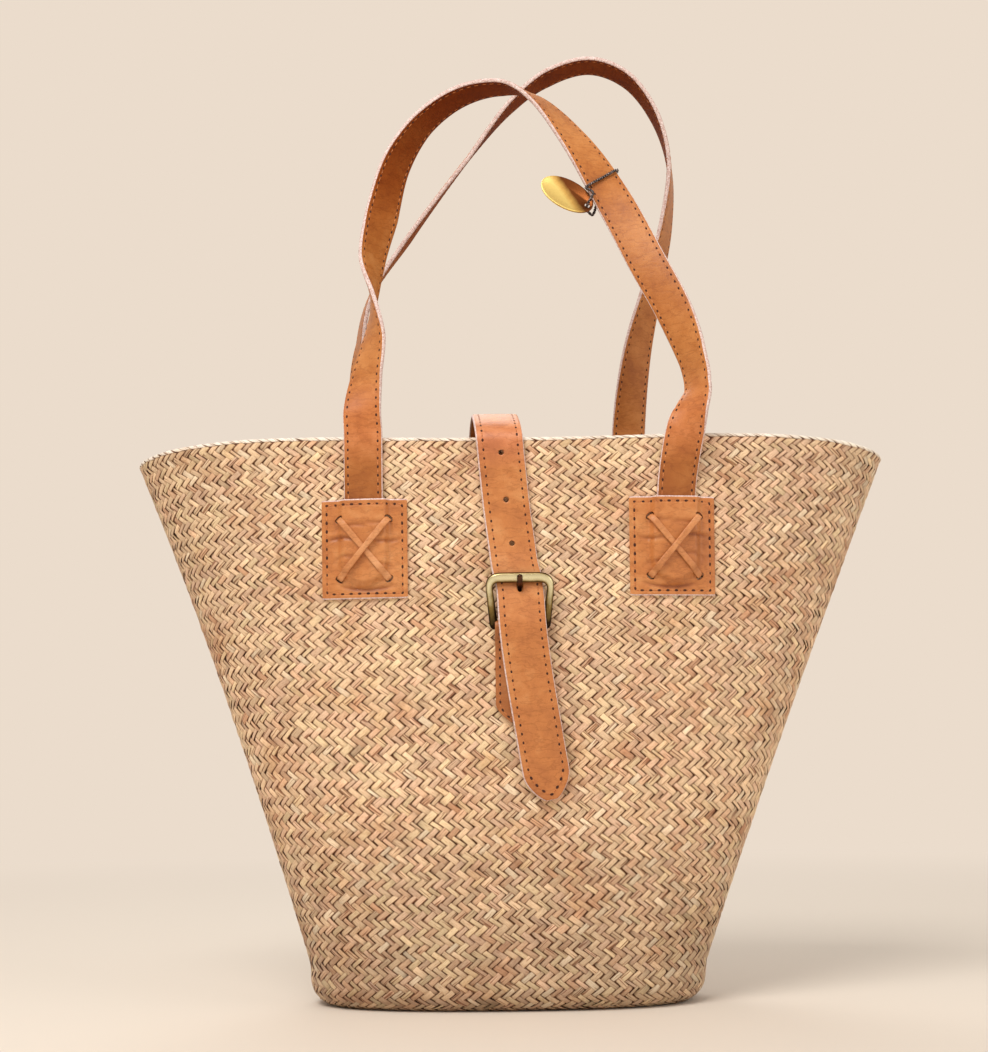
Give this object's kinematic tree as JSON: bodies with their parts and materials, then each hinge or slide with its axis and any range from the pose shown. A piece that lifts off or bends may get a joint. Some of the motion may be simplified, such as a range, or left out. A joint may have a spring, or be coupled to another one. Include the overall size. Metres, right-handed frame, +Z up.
{
  "type": "beach basket tote",
  "caption": "Oval woven straw tote with twisted leather shoulder straps laced on through square patches, a buckled closing strap over the mouth and a hanging oval tag.",
  "frame": {"origin": "middle of the flat base, on the surface the tote stands on", "axes": "+Z up, the front wall with the buckle faces -Y, +X to the viewer's right from the front, along the long way of the oval"},
  "size_m": [0.467, 0.1918, 0.6057],
  "materials": {
    "straw": "matte plaited straw",
    "tan_leather": "satin tan leather with raw edges",
    "lace_leather": "soft tan leather thong",
    "antique_brass": "aged, polished on its outer edges",
    "dark_bronze": "dark bronze",
    "polished_brass": "polished",
    "black_thread": "waxed twisted thread"
  },
  "bodies": {
    "basket": {"woven_basket": "straw", "front_patch_left": "tan_leather", "front_patch_right": "tan_leather", "rear_patch_left": "tan_leather", "rear_patch_right": "tan_leather", "front_lace_left_under": "lace_leather", "front_lace_left_over": "lace_leather", "front_lace_right_under": "lace_leather", "front_lace_right_over": "lace_leather", "rear_lace_left_under": "lace_leather", "rear_lace_left_over": "lace_leather", "rear_lace_right_under": "lace_leather", "rear_lace_right_over": "lace_leather", "front_strap_face_foot_left": "tan_leather", "front_strap_face_foot_right": "tan_leather", "front_strap_lining_foot_left": "tan_leather", "front_strap_lining_foot_right": "tan_leather", "rear_strap_face_foot_left": "tan_leather", "rear_strap_face_foot_right": "tan_leather", "rear_strap_lining_foot_left": "tan_leather", "rear_strap_lining_foot_right": "tan_leather", "closure_strap_face": "tan_leather", "closure_strap_lining": "tan_leather", "buckle_tab": "tan_leather"},
    "front_handle": {"front_strap_face": "tan_leather", "front_strap_lining": "tan_leather", "tag_thread": "black_thread"},
    "rear_handle": {"rear_strap_face": "tan_leather", "rear_strap_lining": "tan_leather"},
    "closure_tail": {"closure_tail_face": "tan_leather", "closure_tail_lining": "tan_leather"},
    "buckle": {"buckle_frame": "antique_brass"},
    "prong": {"buckle_prong": "dark_bronze"},
    "tag": {"hang_tag": "polished_brass"}
  },
  "joints": [
    {"name": "front_handle_fold", "type": "hinge", "parent": "basket", "child": "front_handle", "pos_m": [0, -0.0965, 0.336], "axis": [1, 0, 0], "range_deg": [-4, 175]},
    {"name": "rear_handle_fold", "type": "hinge", "parent": "basket", "child": "rear_handle", "pos_m": [0, 0.0925, 0.336], "axis": [-1, 0, 0], "range_deg": [-4, 175]},
    {"name": "closure_tail_lift", "type": "hinge", "parent": "basket", "child": "closure_tail", "pos_m": [0.006, -0.0915, 0.217], "axis": [0.989, 0, 0.148], "range_deg": [-60, 0]},
    {"name": "buckle_frame_rock", "type": "hinge", "parent": "basket", "child": "buckle", "pos_m": [0.0039, -0.0832, 0.2215], "axis": [1, 0, 0], "range_deg": [0, 4]},
    {"name": "buckle_prong_rock", "type": "hinge", "parent": "basket", "child": "prong", "pos_m": [0.0039, -0.0832, 0.2215], "axis": [1, 0, 0], "range_deg": [0, 4]},
    {"name": "hang_tag_swing", "type": "hinge", "parent": "front_handle", "child": "tag", "pos_m": [0.04834, -0.06467, 0.47879], "axis": [0.1762, -0.9397, 0.2932], "range_deg": [0, 90]}
  ],
  "couplings": [
    {"joint": "buckle_prong_rock", "follows": "buckle_frame_rock", "ratio": 1}
  ]
}
